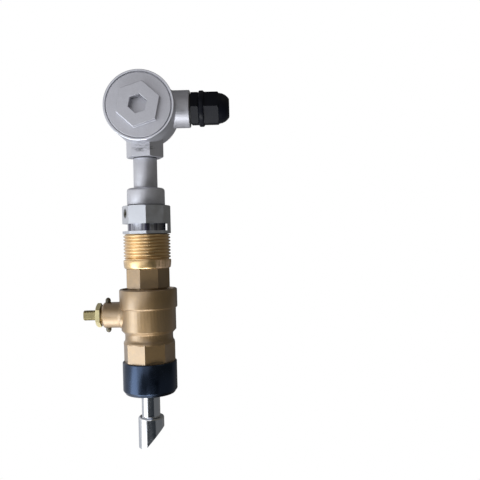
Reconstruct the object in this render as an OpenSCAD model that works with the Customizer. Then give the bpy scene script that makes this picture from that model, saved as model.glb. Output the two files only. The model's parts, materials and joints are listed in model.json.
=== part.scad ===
// Insertion ultrasonic flow transducer on its hot-tap ball valve and weld base.
// Z runs up the probe from the underside of the weld base, X points at the cable gland,
// and the screw cover of the terminal box faces -Y.

/* [Weld base] */
// Outside diameter of the weld base
base_d = 51; // [48:0.2:58]
// Height of the weld base
base_h = 30; // [22:0.5:40]
// Height of the weld bevel round the foot
base_bevel_h = 3.5; // [1:0.5:6]
// Radial depth of the weld bevel
base_bevel_w = 2.5; // [1:0.25:4]
// Small chamfer on the top edge of the base
base_edge = 0.6; // [0.2:0.1:1.5]

/* [Way and pipe threads] */
// Clear way through the base, the valve ends and the nipple
way_d = 26; // [25:0.2:27]
// Major diameter of the pipe threads
pipe_d = 33.2; // [32:0.1:34.6]
// Length of each screwed pipe spigot
pipe_spigot_h = 14; // [10:0.5:16]
// Extra depth of a threaded port beyond its spigot
port_run_out = 1; // [0.5:0.25:2]

/* [Valve body] */
// Width across flats of the lower octagon
low_oct_af = 45.2; // [43.6:0.2:47]
// Height of the lower octagon
low_oct_h = 18.1; // [17:0.1:24]
// Turn of the lower octagon about the valve axis, in degrees
low_oct_turn = 20.8; // [-22.5:0.1:22.5]
// Diameter of the neck above the octagon
neck_d = 45; // [44.6:0.1:47]
// Height of the neck with its flare
neck_h = 8.2; // [6:0.1:12]
// Height of the bevel under the main body
body_bevel_h = 3.4; // [2:0.1:5]
// Diameter of the main body
body_d = 51.4; // [50:0.2:56]
// Height of the main body below the band
body_h = 21.3; // [18:0.1:26]
// Diameter of the band that carries the end connector
band_d = 54.4; // [52:0.2:58]
// Height of the band
band_h = 17.3; // [14:0.1:22]
// Height of the rounded step under the band
band_step_h = 1.4; // [0.6:0.1:2.5]
// Depth of the recess in the top of the band
rim_recess_h = 1.2; // [0.4:0.1:2]
// Height of the spindle axis above the bevel of the body
spindle_rise = 14.4; // [13:0.1:18]

/* [Ball and seats] */
// Diameter of the ball
ball_d = 38; // [37:0.2:38.6]
// Bore of the ball
ball_bore_d = 25; // [24.6:0.1:25.6]
// Height of a seat ring
seat_h = 8.2; // [6:0.2:9]
// How far a seat reaches past the end of the ball's bore
seat_lip = 1.9; // [1:0.1:3]
// Room round the ball in the valve
cavity_gap = 0.5; // [0.3:0.1:0.8]
// Width of the drive slot in the ball
drive_w = 7; // [5:0.2:8]
// Depth of the drive slot in the ball
drive_h = 4; // [2:0.2:4.4]

/* [Bonnet and spindle] */
// Diameter of the bonnet
bonnet_d = 24.4; // [22:0.2:27]
// Distance from the valve axis to the shoulder of the bonnet
bonnet_reach = 41; // [38:0.5:46]
// Length of the cone on the end of the bonnet
bonnet_cone_h = 3.6; // [3:0.2:7]
// Diameter of the small end of that cone
bonnet_tip_d = 17.4; // [17:0.2:20]
// Diameter of the bead at the foot of the bonnet
bead_d = 27; // [25:0.2:30]
// Diameter of the spindle shaft
spindle_d = 12; // [10:0.2:13]
// Diameter of the threaded stud on the end of the spindle
stud_d = 9.6; // [8:0.2:10]
// Width across the two flats of the stud
stud_af = 6.8; // [5.5:0.1:7.6]
// Length of the stud beyond the gland nut
stud_h = 12.6; // [8:0.2:16]
// Length of the plain shaft between the gland nut and the stud
shaft_out = 1.4; // [1.2:0.1:3]
// Thickness of the collar that keeps the spindle in the bonnet
spindle_collar_t = 3; // [2:0.2:4]
// Length of the guide between that collar and the packing
spindle_guide_h = 9.5; // [6:0.5:10]
// Height of the two packing rings together
packing_rings_h = 5; // [3:0.5:6]
// Diameter of the stuffing box in the bonnet
stuffing_d = 16; // [15:0.2:16.8]
// Width across flats of the spindle gland nut
gland_nut_af = 20; // [18:0.2:22]
// Height of the hexagon of the spindle gland nut
gland_nut_h = 4.2; // [3:0.2:7]
// Diameter of the two stop pins on the bonnet
stop_pin_d = 5; // [3:0.1:6]
// How far a stop pin stands above the bonnet
stop_pin_out = 4.2; // [2:0.1:6]
// How deep a stop pin is pressed into the bonnet
stop_pin_in = 3; // [1.5:0.1:3.4]

/* [End connector of the valve] */
// Width across flats of its octagon
end_oct_af = 39.8; // [38.4:0.2:43]
// Height of its octagon
end_oct_h = 19.3; // [17:0.1:24]
// Turn of its octagon about the valve axis, in degrees
end_oct_turn = 11.5; // [-22.5:0.1:22.5]
// Diameter of the thread that holds it in the valve body
end_thread_d = 42; // [41:0.1:44]
// Height of the groove at the foot of the octagon
end_groove_h = 1.2; // [0.6:0.1:2]

/* [Threaded nipple] */
// Diameter of the collar
collar_d = 44.8; // [44:0.2:48]
// Height of the collar
collar_h = 8.3; // [6:0.1:12]
// Chamfer on the collar
collar_edge = 1.2; // [0.5:0.1:2]
// Major diameter of the outer thread
nipple_thread_d = 44; // [41:0.2:44.6]
// Height of the outer thread
nipple_thread_h = 24.4; // [20:0.2:32]
// Depth of the holder's spigot in the nipple
spigot_h = 18.3; // [14:0.1:19]

/* [Probe holder] */
// Width across flats of the octagon
holder_af = 42; // [40:0.2:48]
// Height of the octagon
holder_h = 26.5; // [24.4:0.1:36]
// Turn of the octagon about the probe, in degrees
holder_turn = 7.1; // [-22.5:0.1:22.5]
// Chamfer on the top edge of the octagon
holder_edge = 1.2; // [0.4:0.1:2.5]
// Height of the flange under the clamp slot
slot_floor = 2.7; // [2:0.1:3.4]
// Height of the clamp slot
slot_h = 6.8; // [5:0.1:7.2]
// Distance from the probe axis to the web that the slot leaves
web_reach = 19.4; // [18.4:0.1:20]
// Diameter of the core inside the slot and of the spigot in the nipple
core_d = 35.6; // [34:0.1:37.4]
// Cross-section of each seal ring round the tube
ring_cs = 3; // [2:0.1:3.4]
// Distance between the two seal rings
ring_step = 7; // [5:0.1:8]
// Height of the lower seal ring above the foot of the spigot
ring_rise = 5.5; // [4:0.1:6]

/* [Packing nut and collet] */
// Outside diameter of the packing nut
packing_d = 35.6; // [33:0.1:38]
// Diameter of the packing nut's thread, and of the collet under it
packing_thread_d = 29; // [27:0.1:30]
// Height of the gap that a tightened packing nut leaves above the holder
packing_gap = 0.7; // [0.3:0.1:1.2]
// Height of the packing nut above the holder
packing_h = 16.5; // [13:0.1:22]
// Round on the top edge of the packing nut
packing_round = 2.8; // [1:0.1:3.6]
// Length of the thread of the packing nut inside the holder
packing_thread_h = 11; // [9:0.1:11.6]
// Depth of the counterbore in the top of the packing nut
packing_cbore_h = 11.8; // [10.5:0.1:13]
// Height of the collet's seat above the foot of the octagon
collet_rise = 1.2; // [0.6:0.1:2]
// Width of the shoulder round the collet's cone
collet_step = 1.2; // [0.8:0.1:1.6]
// Height of the straight part of the collet
collet_h = 9; // [7:0.1:9.4]
// Height of the cone on the collet
collet_cone_h = 3.4; // [2:0.1:3.6]
// Width of the slit in the collet
collet_slit = 1.6; // [0.8:0.1:3]
// Diameter of the grub screw in the holder
grub_d = 6; // [4:0.1:6.4]
// Height of the grub screw above the underside of the packing nut
grub_rise = 3.6; // [3.3:0.1:6]
// Thickness of the soft pad under the grub screw
grub_pad_h = 0.9; // [0.6:0.1:1.4]
// Key size of the grub screw
grub_key = 3; // [2:0.1:3.4]

/* [Probe] */
// Outside diameter of the probe tube
tube_d = 17.2; // [16:0.1:18.6]
// Bore of the probe tube
tube_bore_d = 12.6; // [10:0.1:13.4]
// Reach of the probe below the weld base
reach = 51; // [46:0.1:70]
// Diameter of the probe head
head_d = 24.2; // [23:0.1:24.4]
// Height of the probe head
head_h = 28.6; // [27:0.1:36]
// Height of the upright side of the head above its slope
head_side_h = 10; // [9:0.1:14]
// Width of the flat that ends the slope
head_tip_w = 7.9; // [2:0.1:9]
// Depth of the socket for the tube in the head
head_socket_h = 6; // [4:0.1:7]
// Thickness of the head under the transducer disc
head_wall = 2; // [1.2:0.1:3]
// Extra radius of the pocket in the head beyond the tube's bore
pocket_step = 1.6; // [0.5:0.1:2]
// Diameter of the piezo disc
piezo_d = 11; // [8:0.1:12]
// Thickness of the piezo disc
piezo_t = 2; // [1:0.1:3]
// Diameter of the signal lead
lead_d = 3; // [2:0.1:4]
// How far the tube stands in the space of the drum
tube_in_box = 4; // [2:0.5:6]

/* [Neck sleeve] */
// Outside diameter of the neck sleeve
sleeve_d = 22.4; // [20.5:0.1:23]
// Length of sleeve to be seen above the packing nut
sleeve_h = 29; // [24:0.1:60]
// How far the sleeve enters the packing nut
sleeve_entry = 3.8; // [2:0.1:4.4]
// Length of the sleeve's thread inside the terminal box
sleeve_thread_h = 10.5; // [6:0.1:12]
// Height of the groove with the black seal at the top of the sleeve
neck_groove_h = 0.8; // [0.5:0.1:1.5]

/* [Terminal box] */
// Outside diameter of the drum
drum_d = 64.2; // [63:0.2:72]
// Length of the drum in front of the probe axis
drum_front = 32; // [29:0.2:38]
// Length of the drum behind the probe axis
drum_back = 22; // [21:0.2:34]
// Chamfer on the front rim of the drum
rim_edge = 0.5; // [0.2:0.1:0.8]
// Round on the back edge of the drum
drum_round = 8; // [3:0.5:10]
// Wall at the back of the drum
back_wall = 4.5; // [3:0.1:7]
// Diameter of the space inside the drum
space_d = 54; // [50:0.2:55]
// Width across flats of the hexagon under the drum
boss_af = 31.2; // [28:0.1:34]
// Height of that hexagon below the drum
boss_h = 11.5; // [11.2:0.1:20]
// Turn of that hexagon about the probe, in degrees
boss_turn = -6.7; // [-30:0.1:30]
// Round on the lower edge of that hexagon
boss_edge = 1.2; // [0.4:0.1:2.5]
// Diameter of the port for the cable gland
port_d = 35.4; // [31:0.1:38]
// Height of the port's axis above the drum's axis
port_rise = 1.8; // [-2:0.1:3]
// Distance from the probe axis to the end of the port
port_reach = 44; // [41:0.2:56]
// Width of the flare where the port leaves the drum
port_flare = 1; // [0.5:0.1:4]

/* [Cover] */
// Diameter of the cover and of its thread
cover_d = 59.4; // [58:0.1:60]
// Thickness of the cover's plate
cover_t = 5; // [4:0.1:6]
// Depth of the cover in the drum
cover_h = 11; // [9:0.1:12]
// Wall of the cover's skirt
cover_skirt_w = 3.4; // [2.4:0.1:4]
// Chamfer round the front edge of the cover
cover_edge = 0.6; // [0.2:0.1:1.2]
// Width of the gap to be seen round the cover
cover_gap_w = 0.5; // [0.2:0.1:0.8]
// Depth of that gap
cover_gap_h = 1.6; // [0.6:0.1:3]
// Width across flats of the raised hexagon
cover_hex_af = 36.2; // [34:0.2:40]
// Height of the raised hexagon
cover_hex_h = 5.4; // [3:0.1:8]
// Key size of the socket in the hexagon
cover_key_af = 15.2; // [12:0.1:19]
// Depth of the socket
cover_key_h = 9; // [7:0.1:10]
// Turn of the hexagon about the cover's axis, in degrees
cover_turn_deg = 17.8; // [0:0.1:60]
// Cross-section of the cover's seal ring
cover_ring_cs = 2; // [1.6:0.1:2.2]

/* [Terminal block] */
// Width of the terminal block
block_w = 24; // [20:0.5:28]
// Height of the terminal block
block_h = 14; // [11:0.5:18]
// Depth of the terminal block
block_t = 16; // [12:0.5:18]
// Number of terminal screws
terminals = 3; // [2:1:3]
// Diameter of a terminal screw
terminal_screw_d = 4; // [3:0.1:5]
// Height of the block's underside above the foot of the space in the drum
block_rise = 21; // [18:0.5:24]
// Depth of the hole for a terminal screw
terminal_hole_h = 4; // [3:0.5:6]
// Diameter of the post behind the terminal block
post_d = 10; // [8:0.5:12]
// Length of that post
post_h = 8.5; // [6:0.5:12]

/* [Cable gland] */
// Diameter of the gland's thread
gland_thread_d = 22.4; // [20:0.1:23]
// Length of that thread in the port
gland_thread_h = 8; // [6:0.1:10]
// Thickness of the washer under the gland
gland_washer_t = 1.2; // [0.8:0.1:2]
// Width across flats of the gland's two hexagons
gland_af = 29; // [27:0.1:32]
// Length of the fixed hexagon
gland_hex_h = 7.1; // [5:0.1:10]
// Turn of the gland's hexagons about its axis, in degrees
gland_turn = 34; // [0:1:60]
// Diameter of the flange on the gland nut
gland_flange_d = 34; // [32:0.1:36]
// Length of the flange on the gland nut
gland_flange_h = 4.8; // [3:0.1:7]
// Length of the hexagon on the gland nut
gland_nut_hex_h = 13.7; // [12:0.1:18]
// Length of the dome on the gland nut
gland_dome_h = 10; // [8:0.1:14]
// Diameter of the neck under the gland nut
gland_neck_d = 23; // [21:0.1:24]
// Length of that neck
gland_neck_h = 13.5; // [10:0.1:15]
// Bore of the gland's body
gland_bore_d = 16; // [14:0.1:17]
// Hole for the cable through the seal
cable_d = 10; // [6:0.1:12]
// Length of the seal
gland_seal_h = 12; // [9:0.1:13]
// How far the seal stands out of the gland's body
gland_seal_out = 4; // [2:0.5:5]
// Hole in the end of the gland nut
gland_mouth_d = 15; // [13:0.1:17]

/* [Clearances] */
// Radial clearance of the running fits
run_gap = 0.05; // [0.02:0.01:0.1]
// Radial clearance of screwed and pressed fits
fit_gap = 0.03; // [0.01:0.01:0.06]
// Gap at seats, cones and shoulders that bear on a moving piece
seat_gap = 0.1; // [0.05:0.01:0.2]
// Chamfer on the corners of the turned and moulded pieces
edge = 0.7; // [0.3:0.1:1]
// Chamfer on their small corners
fine_edge = 0.6; // [0.3:0.1:0.8]

/* [Hidden] */
$fn = 96;
over = 1;

// Radii of the way, the pipe threads and the ball
way_r = way_d / 2;
pipe_r = pipe_d / 2;
ball_r = ball_d / 2;
ball_bore_r = ball_bore_d / 2;

// Turn from the corner of an octagon to the middle of its facet, in degrees
half_facet = 180 / 8;

// Levels from the underside of the weld base upwards
z_low_oct_top = base_h + low_oct_h;
z_neck_top = z_low_oct_top + neck_h;
z_body = z_neck_top + body_bevel_h;
z_ball = z_body + spindle_rise;
z_band = z_body + body_h;
z_band_top = z_band + band_h;
z_end_top = z_band_top + end_oct_h;
z_collar_top = z_end_top + collar_h;
z_holder = z_collar_top + nipple_thread_h;
z_spigot = z_holder - spigot_h;
z_holder_top = z_holder + holder_h;
z_nut_top = z_holder_top + packing_h;
z_box = z_nut_top + sleeve_h;
z_drum = z_box + boss_h + drum_d / 2;
z_port = z_drum + port_rise;

// The seats, measured from the middle of the ball
ball_flat = sqrt(pow(ball_r, 2) - pow(ball_bore_r, 2));
seat_back = ball_flat + seat_lip;
seat_front = seat_back - seat_h;
cavity_r = ball_r + cavity_gap;
end_thread_r = end_thread_d / 2;
end_spigot_front = seat_front + 2;

// The spindle and its bonnet, measured from the valve axis
spindle_r = spindle_d / 2;
stuffing_r = stuffing_d / 2;
bonnet_end = bonnet_reach + bonnet_cone_h;
tang_foot = ball_r - drive_h + seat_gap;
collar_in = cavity_r + cavity_gap;
collar_out = collar_in + spindle_collar_t;
packing_in = collar_out + spindle_guide_h;
packing_out = packing_in + packing_rings_h;
stud_start = bonnet_end + gland_nut_h + shaft_out;
stud_end = bonnet_end + gland_nut_h + stud_h;
stop_pin_reach = bonnet_reach - stop_pin_d / 2 - 0.2;

// The holder, the collet and the packing nut
packing_r = packing_d / 2;
core_r = core_d / 2;
clamp_r = packing_thread_d / 2;
holder_bore_r = clamp_r + run_gap;
tube_r = tube_d / 2;
tube_gap_r = tube_r + run_gap;
guide_r = tube_r + 0.3;
ring_major_r = tube_r + seat_gap + ring_cs / 2;
z_ring = z_spigot + ring_rise;
z_slot = z_holder + slot_floor;
z_collet = z_holder + collet_rise;
z_collet_top = z_collet + seat_gap + collet_h;
z_nut = z_holder_top - packing_thread_h;
collet_cone_r = clamp_r - collet_step;
collet_tip_r = collet_cone_r - collet_cone_h;
sleeve_r = sleeve_d / 2;
z_sleeve = z_nut_top - sleeve_entry;
grub_turn = holder_turn - 7 * half_facet;
z_grub = z_nut + grub_rise;
grub_pad_in = holder_bore_r + seat_gap;
grub_in = grub_pad_in + grub_pad_h;
grub_out = holder_af / 2 - 0.3;

// The probe, with the slope of its head
head_r = head_d / 2;
z_head_top = head_h - reach;
slope_drop = head_h - head_side_h;
slope_run = head_d - head_tip_w;
slope_deg = atan2(slope_drop, slope_run);
pocket_r = tube_bore_d / 2 + pocket_step;
z_socket = z_head_top - head_socket_h;
z_space = z_drum - space_d / 2;
z_tube_top = z_space + tube_in_box;
z_block = z_space + block_rise;
block_back = drum_back - back_wall - post_h;
block_front = block_back - block_t;

// The cover and the gland, measured from the probe axis
cover_r = cover_d / 2;
mouth_r = cover_r + run_gap;
cover_face = drum_front - 0.2;
cover_back = cover_face - cover_h;
shoulder = cover_back - cover_ring_cs - 2 * seat_gap;
gland_hex = port_reach + gland_washer_t;
gland_neck = gland_hex + gland_hex_h;
gland_nut_in = gland_neck + 0.3;
gland_nut_hex = gland_nut_in + gland_flange_h;
gland_dome = gland_nut_hex + gland_nut_hex_h;
gland_end = gland_dome + gland_dome_h;
gland_neck_end = gland_neck + gland_neck_h;
gland_seal_end = gland_neck_end + gland_seal_out;

// Colours
BLACK_STEEL = "#15181b";
FORGED_BRASS = "#a98d6c";
BRIGHT_BRASS = "#c9a24e";
GREEN_BRASS = "#9a9068";
CAST_ALUMINIUM = "#b2b2b8";
MACHINED_STEEL = "#8f9296";
STAINLESS = "#a9acae";
DARK_STEEL = "#4b4d50";
NYLON = "#1a1a1c";
RUBBER = "#222222";
PTFE = "#e8e6e0";
CERAMIC = "#d8cfa8";
RESIN = "#3a3d33";
LEAD_GREY = "#55585c";
BLOCK_GREEN = "#3f7a56";

function arc(cx, cy, r, from, to, steps) =
    [for (i = [0 : steps]) let (a = from + (to - from) * i / steps) [cx + r * cos(a), cy + r * sin(a)]];

function corner_r(af, sides) = af / 2 / cos(180 / sides);

module tube_z(z0, z1, r_out, r_in) {
    translate([0, 0, z0]) difference() {
        cylinder(r = r_out, h = z1 - z0);
        translate([0, 0, -over]) cylinder(r = r_in, h = z1 - z0 + 2 * over);
    }
}

module rod_z(z0, z1, r) {
    translate([0, 0, z0]) cylinder(r = r, h = z1 - z0);
}

// A prism whose corners are turned off to a cone of 30 degrees, by foot below and by top above
module turned_prism(af, sides, z0, z1, foot, top, turn = 0) {
    r = corner_r(af, sides);
    wide = r + over;
    intersection() {
        rotate(turn) translate([0, 0, z0]) cylinder(r = r, h = z1 - z0, $fn = sides);
        rotate_extrude() polygon(concat(
            [[0, z0]],
            foot > 0 ? [[r - foot, z0], [wide, z0 + (foot + over) * tan(30)]] : [[wide, z0]],
            top > 0 ? [[wide, z1 - (top + over) * tan(30)], [r - top, z1]] : [[wide, z1]],
            [[0, z1]]
        ));
    }
}

// Children drawn up the Z axis, laid along the spindle, the gland or the cover
module along_spindle() {
    translate([0, 0, z_ball]) rotate([0, -90, 0]) children();
}

module along_gland() {
    translate([0, 0, z_port]) rotate([0, 90, 0]) children();
}

module along_cover() {
    translate([0, 0, z_drum]) rotate([90, 0, 0]) children();
}

module along_grub() {
    translate([0, 0, z_grub]) rotate(grub_turn) rotate([0, 90, 0]) children();
}

// Half-space above the slope of the head, moved up by inset
module above_slope(inset) {
    translate([head_r, 0, z_head_top - head_side_h])
        rotate([0, -slope_deg, 0])
            translate([-4 * head_d, -head_d, inset])
                cube([8 * head_d, 2 * head_d, 4 * head_d]);
}

module weld_base() {
    r = base_d / 2;
    color(BLACK_STEEL) rotate_extrude() polygon([
        [way_r, 0], [r - base_bevel_w, 0], [r, base_bevel_h], [r, base_h - base_edge],
        [r - base_edge, base_h], [pipe_r, base_h], [pipe_r, base_h + pipe_spigot_h - 1],
        [pipe_r - 1, base_h + pipe_spigot_h], [way_r, base_h + pipe_spigot_h]
    ]);
}

// The forged outside of the valve above its octagon
module body_outline() {
    flare_r = corner_r(low_oct_af, 8) - 0.35;
    neck_r = neck_d / 2;
    body_r = body_d / 2;
    band_r = band_d / 2;
    rotate_extrude() polygon(concat(
        [[0, z_low_oct_top - 1], [flare_r, z_low_oct_top - 1]],
        [[flare_r - 0.2, z_low_oct_top + 0.6], [neck_r + 0.3, z_low_oct_top + 2.4]],
        [[neck_r, z_low_oct_top + 4], [neck_r, z_neck_top]],
        [[body_r - 0.6, z_body - 0.6], [body_r, z_body], [body_r, z_band - band_step_h]],
        [[band_r - 0.3, z_band - 0.4], [band_r, z_band], [band_r, z_band_top - 0.8]],
        [[band_r - 0.8, z_band_top], [0, z_band_top]]
    ));
}

module bonnet_outline() {
    bonnet_r = bonnet_d / 2;
    foot = body_d / 2 - 3;
    rotate_extrude() polygon([
        [0, 10], [bead_d / 2, 10], [bead_d / 2, foot + 2], [bonnet_r, foot + 4.6],
        [bonnet_r, bonnet_reach], [bonnet_tip_d / 2, bonnet_end], [0, bonnet_end]
    ]);
}

module stop_pin_places() {
    for (side = [0, 180])
        translate([0, 0, stop_pin_reach]) rotate([0, side, 0]) rotate([0, 90, 0])
            translate([0, 0, bonnet_d / 2]) children();
}

module valve_body() {
    color(FORGED_BRASS) difference() {
        union() {
            turned_prism(low_oct_af, 8, base_h, z_low_oct_top, edge, 0, low_oct_turn + half_facet);
            body_outline();
            along_spindle() bonnet_outline();
        }
        rod_z(base_h - over, base_h + pipe_spigot_h + port_run_out, pipe_r + fit_gap);
        rod_z(base_h, z_band_top + over, way_r);
        rod_z(z_ball - seat_back, z_band_top, cavity_r);
        rod_z(z_ball + end_spigot_front - 0.3, z_band_top + over, end_thread_r + fit_gap);
        rod_z(z_band_top - rim_recess_h, z_band_top + over, band_d / 2 - 3);
        along_spindle() {
            rod_z(0, collar_out + seat_gap, stuffing_r + run_gap);
            rod_z(0, bonnet_end + over, spindle_r + run_gap);
            rod_z(packing_in, bonnet_end + over, stuffing_r + fit_gap);
            stop_pin_places() rod_z(-stop_pin_in, over, stop_pin_d / 2 + fit_gap);
        }
    }
}

module valve_end() {
    spigot = z_ball + end_spigot_front;
    color(FORGED_BRASS) difference() {
        union() {
            turned_prism(
                end_oct_af, 8, z_band_top + end_groove_h, z_end_top, edge, edge, end_oct_turn + half_facet
            );
            rod_z(spigot, z_band_top - rim_recess_h, end_thread_r);
            rod_z(spigot, z_band_top + end_groove_h + 0.1, end_oct_af / 2 - 1);
        }
        rod_z(spigot - over, z_end_top + over, way_r);
        rod_z(spigot - over, z_ball + seat_back, cavity_r);
        rod_z(z_end_top - pipe_spigot_h - port_run_out, z_end_top + over, pipe_r + fit_gap);
    }
}

module seat() {
    difference() {
        tube_z(seat_front, seat_back, cavity_r - fit_gap, way_r);
        sphere(r = ball_r + seat_gap);
    }
}

module seat_lower() {
    color(PTFE) translate([0, 0, z_ball]) mirror([0, 0, 1]) seat();
}

module seat_upper() {
    color(PTFE) translate([0, 0, z_ball]) seat();
}

module ball() {
    color(STAINLESS) translate([0, 0, z_ball]) difference() {
        sphere(r = ball_r);
        translate([0, 0, -ball_d]) cylinder(r = ball_bore_r, h = 2 * ball_d);
        translate([-ball_r - over, -ball_r, -drive_w / 2]) cube([drive_h + over, ball_d, drive_w]);
    }
}

// Turned shaft with a drive tang inside and a stud with two flats outside
module spindle() {
    stud_r = stud_d / 2;
    tang_w = drive_w - 2 * run_gap;
    color(GREEN_BRASS) along_spindle() difference() {
        union() {
            intersection() {
                translate([-tang_w / 2, -ball_r, tang_foot]) cube([tang_w, ball_d, collar_in - tang_foot + 0.5]);
                rod_z(tang_foot, collar_in + 0.5, stuffing_r);
            }
            rod_z(collar_in, collar_out, stuffing_r);
            rotate_extrude() polygon([
                [0, collar_out - 0.5], [spindle_r, collar_out - 0.5], [spindle_r, stud_start - 1.2],
                [stud_r, stud_start], [stud_r, stud_end - fine_edge], [stud_r - fine_edge, stud_end], [0, stud_end]
            ]);
        }
        for (side = [-1, 1])
            translate([-stud_d, side > 0 ? stud_af / 2 : -stud_af / 2 - stud_d, stud_start])
                cube([2 * stud_d, stud_d, stud_h]);
    }
}

module spindle_packing() {
    ring_h = packing_rings_h / 2 - 0.05;
    color(PTFE) along_spindle() for (z = [packing_in + 0.05, packing_out - ring_h])
        tube_z(z, z + ring_h - 0.05, stuffing_r, spindle_r + run_gap);
}

module spindle_gland_nut() {
    hex_z = bonnet_end + 0.05;
    color(GREEN_BRASS) along_spindle() difference() {
        union() {
            rod_z(packing_out + 0.05, hex_z + 0.5, stuffing_r);
            turned_prism(gland_nut_af, 6, hex_z, hex_z + gland_nut_h, edge, 2 * edge);
        }
        rod_z(0, hex_z + gland_nut_h + over, spindle_r + run_gap);
    }
}

module stop_pins() {
    r = stop_pin_d / 2;
    color(DARK_STEEL) along_spindle() stop_pin_places() rotate_extrude() polygon([
        [0, -stop_pin_in], [r, -stop_pin_in], [r, stop_pin_out - 2.2], [r - 0.5, stop_pin_out - 1],
        [r - 1.6, stop_pin_out], [0, stop_pin_out]
    ]);
}

module threaded_nipple() {
    collar_r = collar_d / 2;
    thread_r = nipple_thread_d / 2;
    color(BRIGHT_BRASS) rotate_extrude() polygon([
        [way_r, z_end_top - pipe_spigot_h], [pipe_r - 1, z_end_top - pipe_spigot_h],
        [pipe_r, z_end_top - pipe_spigot_h + 1], [pipe_r, z_end_top],
        [collar_r - collar_edge, z_end_top], [collar_r, z_end_top + collar_edge],
        [collar_r, z_collar_top - 0.4], [collar_r - 0.4, z_collar_top], [thread_r - 1.4, z_collar_top],
        [thread_r - 1.4, z_collar_top + 0.8], [thread_r, z_collar_top + 1.8],
        [thread_r, z_holder - 1.4], [thread_r - 1.2, z_holder], [core_r + fit_gap, z_holder],
        [core_r + fit_gap, z_spigot - 0.5], [way_r, z_spigot - 0.5]
    ]);
}

module probe_holder() {
    big = holder_af;
    color(MACHINED_STEEL) difference() {
        union() {
            difference() {
                turned_prism(holder_af, 8, z_holder, z_holder_top, edge, holder_edge, holder_turn);
                rotate(holder_turn) translate([-big, -big, z_slot]) cube([big + web_reach, 2 * big, slot_h]);
            }
            rod_z(z_spigot, z_slot + slot_h + 0.5, core_r);
        }
        rod_z(z_spigot - over, z_holder_top, guide_r);
        rod_z(z_collet, z_holder_top + over, holder_bore_r);
        for (z = [z_ring, z_ring + ring_step])
            rod_z(z - ring_cs / 2 - seat_gap, z + ring_cs / 2 + seat_gap, ring_major_r + ring_cs / 2);
        along_grub() rod_z(0, big, grub_d / 2 + run_gap);
    }
}

module holder_seal_rings() {
    color(RUBBER) for (z = [z_ring, z_ring + ring_step])
        translate([0, 0, z]) rotate_extrude() translate([ring_major_r, 0]) circle(d = ring_cs, $fn = 24);
}

module clamp_collet() {
    foot = z_collet + seat_gap;
    color(STAINLESS) difference() {
        rotate_extrude() polygon([
            [tube_gap_r, foot], [clamp_r, foot], [clamp_r, z_collet_top],
            [collet_cone_r, z_collet_top], [collet_tip_r, z_collet_top + collet_cone_h],
            [tube_gap_r, z_collet_top + collet_cone_h]
        ]);
        translate([0, -collet_slit / 2, z_holder]) cube([packing_d, collet_slit, holder_h]);
    }
}

// Ring between the collet and the packing nut, with the collet's cone inside
module thrust_ring() {
    foot = z_collet_top + seat_gap;
    color(STAINLESS) rotate_extrude() polygon([
        [collet_cone_r + seat_gap, foot], [clamp_r, foot], [clamp_r, z_nut - 0.05],
        [tube_gap_r + 0.2, z_nut - 0.05], [tube_gap_r + 0.2, foot + collet_cone_h + seat_gap],
        [collet_tip_r + seat_gap, foot + collet_cone_h + seat_gap], [collet_tip_r + seat_gap, foot + collet_cone_h]
    ]);
}

module packing_nut() {
    top_r = packing_r - packing_round;
    color(CAST_ALUMINIUM) difference() {
        rotate_extrude() polygon(concat(
            [[0, z_nut], [clamp_r - fine_edge, z_nut], [clamp_r, z_nut + fine_edge]],
            [[clamp_r, z_holder_top + packing_gap], [packing_r, z_holder_top + packing_gap]],
            arc(top_r, z_nut_top - packing_round, packing_round, 0, 90, 6),
            [[0, z_nut_top]]
        ));
        rod_z(z_nut - over, z_nut_top, tube_gap_r + 0.2);
        rod_z(z_nut_top - packing_cbore_h, z_nut_top + over, sleeve_r + run_gap);
    }
}

module grub_pad() {
    color(BRIGHT_BRASS) along_grub() rod_z(grub_pad_in, grub_in, grub_d / 2 - 0.6);
}

module grub_screw() {
    color(DARK_STEEL) along_grub() difference() {
        rod_z(grub_in + 0.02, grub_out, grub_d / 2);
        rotate(30) translate([0, 0, grub_out - 1.8]) cylinder(r = corner_r(grub_key, 6), h = 4, $fn = 6);
    }
}

module probe_tube() {
    color(STAINLESS) tube_z(z_socket + 0.02, z_tube_top, tube_r, tube_bore_d / 2);
}

module probe_head() {
    color(STAINLESS) difference() {
        intersection() {
            rotate_extrude() polygon([
                [0, -reach], [head_r, -reach], [head_r, z_head_top - 1.6], [head_r - 0.5, z_head_top - 0.5],
                [head_r - 1.6, z_head_top], [0, z_head_top]
            ]);
            above_slope(0);
        }
        rod_z(z_socket, z_head_top + over, tube_r + fit_gap);
        intersection() {
            rod_z(-reach + head_wall, z_socket + over, pocket_r);
            above_slope(head_wall);
        }
    }
}

// Places its children on the middle of the pocket's sloping floor
module on_slope_floor() {
    z_floor = z_head_top - head_side_h - head_r * tan(slope_deg) + head_wall / cos(slope_deg);
    translate([0, 0, z_floor]) rotate([0, -slope_deg, 0]) children();
}

module piezo_disc() {
    color(CERAMIC) on_slope_floor() rod_z(0.02, piezo_t, piezo_d / 2);
}

module backing_block() {
    color(RESIN) difference() {
        intersection() {
            rod_z(-reach + head_wall, z_socket, pocket_r - fit_gap);
            above_slope(head_wall + 0.02);
        }
        on_slope_floor() rod_z(-over, piezo_t + 0.02, piezo_d / 2 + 0.02);
        rod_z(z_socket - 5, z_socket + over, lead_d / 2 + fit_gap);
    }
}

module signal_lead() {
    color(LEAD_GREY) rod_z(z_socket - 5 + 0.02, z_block + 2, lead_d / 2);
}

module neck_sleeve() {
    color(CAST_ALUMINIUM) difference() {
        tube_z(z_sleeve, z_box + sleeve_thread_h, sleeve_r, tube_r + fit_gap);
        tube_z(z_box - neck_groove_h, z_box, sleeve_r + over, sleeve_r - 0.8);
    }
}

module neck_seal() {
    color(RUBBER) tube_z(z_box - neck_groove_h + 0.02, z_box - 0.02, sleeve_r - 0.25, sleeve_r - 0.8 + fit_gap);
}

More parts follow.
